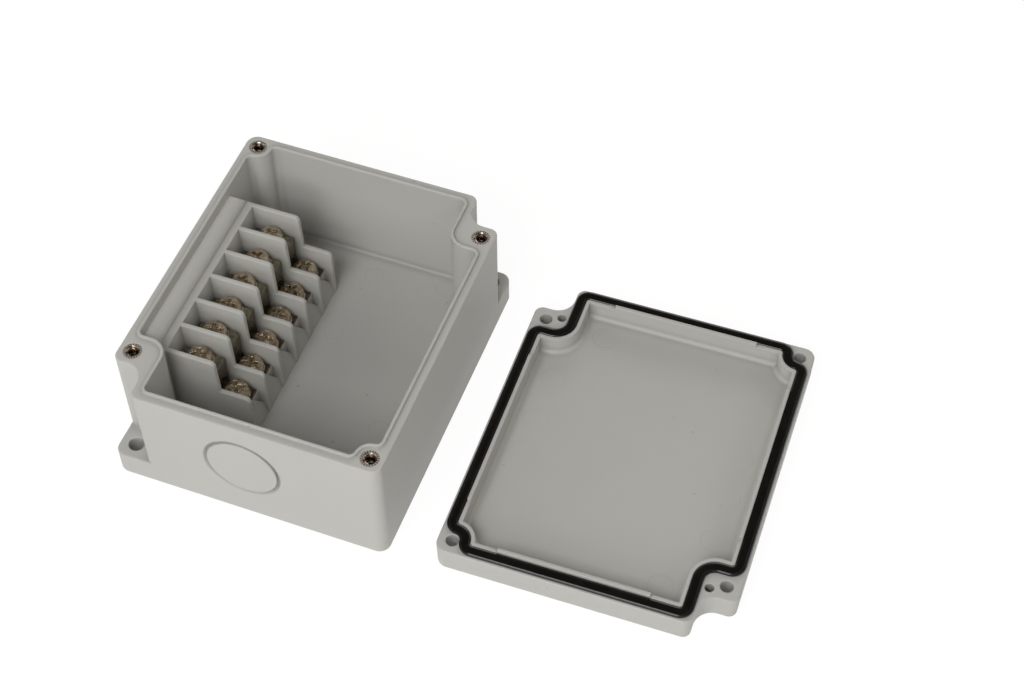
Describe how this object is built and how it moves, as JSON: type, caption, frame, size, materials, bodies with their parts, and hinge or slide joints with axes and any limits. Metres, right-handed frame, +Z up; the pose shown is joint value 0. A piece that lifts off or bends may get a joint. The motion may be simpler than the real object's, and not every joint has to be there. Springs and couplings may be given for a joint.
{
  "type": "plastic enclosure",
  "caption": "Small grey plastic junction box with stepped screw terminals along one wall, two mounting lugs, and its gasketed lid lying upside down beside it.",
  "frame": {"origin": "centre of the box's underside", "axes": "+X to the right, towards the lid that lies beside the box; +Y to the back; +Z up"},
  "size_m": [0.2158, 0.1243, 0.0489],
  "materials": {
    "housing_grey": "fine moulded texture",
    "block_grey": "fine moulded texture",
    "lid_grey": "fine moulded texture",
    "gasket_black": "smooth, slightly shiny",
    "insert_brass": "machined",
    "bar_metal": "plated, dull",
    "nut_metal": "plated, dull",
    "washer_metal": "plated, dull",
    "screw_metal": "plated, dull"
  },
  "bodies": {
    "box": {"enclosure_base": "housing_grey", "terminal_block": "block_grey", "terminal_nuts_upper": "nut_metal", "terminal_nuts_lower": "nut_metal", "insert_front_left": "insert_brass", "insert_back_left": "insert_brass", "insert_front_right": "insert_brass", "insert_back_right": "insert_brass", "connector_bar_1": "bar_metal", "connector_bar_2": "bar_metal", "connector_bar_3": "bar_metal", "connector_bar_4": "bar_metal", "connector_bar_5": "bar_metal", "connector_bar_6": "bar_metal"},
    "lid": {"lid": "lid_grey", "lid_gasket": "gasket_black"},
    "washer_upper_1": {"washer_upper_1": "washer_metal"},
    "screw_upper_1": {"screw_upper_1": "screw_metal"},
    "washer_upper_2": {"washer_upper_2": "washer_metal"},
    "screw_upper_2": {"screw_upper_2": "screw_metal"},
    "washer_upper_3": {"washer_upper_3": "washer_metal"},
    "screw_upper_3": {"screw_upper_3": "screw_metal"},
    "washer_upper_4": {"washer_upper_4": "washer_metal"},
    "screw_upper_4": {"screw_upper_4": "screw_metal"},
    "washer_upper_5": {"washer_upper_5": "washer_metal"},
    "screw_upper_5": {"screw_upper_5": "screw_metal"},
    "washer_upper_6": {"washer_upper_6": "washer_metal"},
    "screw_upper_6": {"screw_upper_6": "screw_metal"},
    "washer_lower_1": {"washer_lower_1": "washer_metal"},
    "screw_lower_1": {"screw_lower_1": "screw_metal"},
    "washer_lower_2": {"washer_lower_2": "washer_metal"},
    "screw_lower_2": {"screw_lower_2": "screw_metal"},
    "washer_lower_3": {"washer_lower_3": "washer_metal"},
    "screw_lower_3": {"screw_lower_3": "screw_metal"},
    "washer_lower_4": {"washer_lower_4": "washer_metal"},
    "screw_lower_4": {"screw_lower_4": "screw_metal"},
    "washer_lower_5": {"washer_lower_5": "washer_metal"},
    "screw_lower_5": {"screw_lower_5": "screw_metal"},
    "washer_lower_6": {"washer_lower_6": "washer_metal"},
    "screw_lower_6": {"screw_lower_6": "screw_metal"}
  },
  "joints": [
    {"name": "lid_lift", "type": "slide", "parent": "box", "child": "lid", "axis": [0, 0, 1], "range_m": [0, 0.06]},
    {"name": "rise_upper_1", "type": "slide", "parent": "box", "child": "washer_upper_1", "axis": [0, 0, 1], "range_m": [0, 0.003]},
    {"name": "turn_upper_1", "type": "hinge", "parent": "washer_upper_1", "child": "screw_upper_1", "pos_m": [-0.0303, -0.02748, 0.03], "axis": [0, 0, 1], "range_deg": [0, 1351]},
    {"name": "rise_upper_2", "type": "slide", "parent": "box", "child": "washer_upper_2", "axis": [0, 0, 1], "range_m": [0, 0.003]},
    {"name": "turn_upper_2", "type": "hinge", "parent": "washer_upper_2", "child": "screw_upper_2", "pos_m": [-0.0303, -0.01605, 0.03], "axis": [0, 0, 1], "range_deg": [0, 1351]},
    {"name": "rise_upper_3", "type": "slide", "parent": "box", "child": "washer_upper_3", "axis": [0, 0, 1], "range_m": [0, 0.003]},
    {"name": "turn_upper_3", "type": "hinge", "parent": "washer_upper_3", "child": "screw_upper_3", "pos_m": [-0.0303, -0.00462, 0.03], "axis": [0, 0, 1], "range_deg": [0, 1351]},
    {"name": "rise_upper_4", "type": "slide", "parent": "box", "child": "washer_upper_4", "axis": [0, 0, 1], "range_m": [0, 0.003]},
    {"name": "turn_upper_4", "type": "hinge", "parent": "washer_upper_4", "child": "screw_upper_4", "pos_m": [-0.0303, 0.00681, 0.03], "axis": [0, 0, 1], "range_deg": [0, 1351]},
    {"name": "rise_upper_5", "type": "slide", "parent": "box", "child": "washer_upper_5", "axis": [0, 0, 1], "range_m": [0, 0.003]},
    {"name": "turn_upper_5", "type": "hinge", "parent": "washer_upper_5", "child": "screw_upper_5", "pos_m": [-0.0303, 0.01824, 0.03], "axis": [0, 0, 1], "range_deg": [0, 1351]},
    {"name": "rise_upper_6", "type": "slide", "parent": "box", "child": "washer_upper_6", "axis": [0, 0, 1], "range_m": [0, 0.003]},
    {"name": "turn_upper_6", "type": "hinge", "parent": "washer_upper_6", "child": "screw_upper_6", "pos_m": [-0.0303, 0.02967, 0.03], "axis": [0, 0, 1], "range_deg": [0, 1351]},
    {"name": "rise_lower_1", "type": "slide", "parent": "box", "child": "washer_lower_1", "axis": [0, 0, 1], "range_m": [0, 0.003]},
    {"name": "turn_lower_1", "type": "hinge", "parent": "washer_lower_1", "child": "screw_lower_1", "pos_m": [-0.0183, -0.02748, 0.017], "axis": [0, 0, 1], "range_deg": [0, 1351]},
    {"name": "rise_lower_2", "type": "slide", "parent": "box", "child": "washer_lower_2", "axis": [0, 0, 1], "range_m": [0, 0.003]},
    {"name": "turn_lower_2", "type": "hinge", "parent": "washer_lower_2", "child": "screw_lower_2", "pos_m": [-0.0183, -0.01605, 0.017], "axis": [0, 0, 1], "range_deg": [0, 1351]},
    {"name": "rise_lower_3", "type": "slide", "parent": "box", "child": "washer_lower_3", "axis": [0, 0, 1], "range_m": [0, 0.003]},
    {"name": "turn_lower_3", "type": "hinge", "parent": "washer_lower_3", "child": "screw_lower_3", "pos_m": [-0.0183, -0.00462, 0.017], "axis": [0, 0, 1], "range_deg": [0, 1351]},
    {"name": "rise_lower_4", "type": "slide", "parent": "box", "child": "washer_lower_4", "axis": [0, 0, 1], "range_m": [0, 0.003]},
    {"name": "turn_lower_4", "type": "hinge", "parent": "washer_lower_4", "child": "screw_lower_4", "pos_m": [-0.0183, 0.00681, 0.017], "axis": [0, 0, 1], "range_deg": [0, 1351]},
    {"name": "rise_lower_5", "type": "slide", "parent": "box", "child": "washer_lower_5", "axis": [0, 0, 1], "range_m": [0, 0.003]},
    {"name": "turn_lower_5", "type": "hinge", "parent": "washer_lower_5", "child": "screw_lower_5", "pos_m": [-0.0183, 0.01824, 0.017], "axis": [0, 0, 1], "range_deg": [0, 1351]},
    {"name": "rise_lower_6", "type": "slide", "parent": "box", "child": "washer_lower_6", "axis": [0, 0, 1], "range_m": [0, 0.003]},
    {"name": "turn_lower_6", "type": "hinge", "parent": "washer_lower_6", "child": "screw_lower_6", "pos_m": [-0.0183, 0.02967, 0.017], "axis": [0, 0, 1], "range_deg": [0, 1351]}
  ],
  "couplings": [
    {"joint": "turn_upper_1", "follows": "rise_upper_1", "rad_per_m": 7854},
    {"joint": "turn_upper_2", "follows": "rise_upper_2", "rad_per_m": 7854},
    {"joint": "turn_upper_3", "follows": "rise_upper_3", "rad_per_m": 7854},
    {"joint": "turn_upper_4", "follows": "rise_upper_4", "rad_per_m": 7854},
    {"joint": "turn_upper_5", "follows": "rise_upper_5", "rad_per_m": 7854},
    {"joint": "turn_upper_6", "follows": "rise_upper_6", "rad_per_m": 7854},
    {"joint": "turn_lower_1", "follows": "rise_lower_1", "rad_per_m": 7854},
    {"joint": "turn_lower_2", "follows": "rise_lower_2", "rad_per_m": 7854},
    {"joint": "turn_lower_3", "follows": "rise_lower_3", "rad_per_m": 7854},
    {"joint": "turn_lower_4", "follows": "rise_lower_4", "rad_per_m": 7854},
    {"joint": "turn_lower_5", "follows": "rise_lower_5", "rad_per_m": 7854},
    {"joint": "turn_lower_6", "follows": "rise_lower_6", "rad_per_m": 7854}
  ]
}
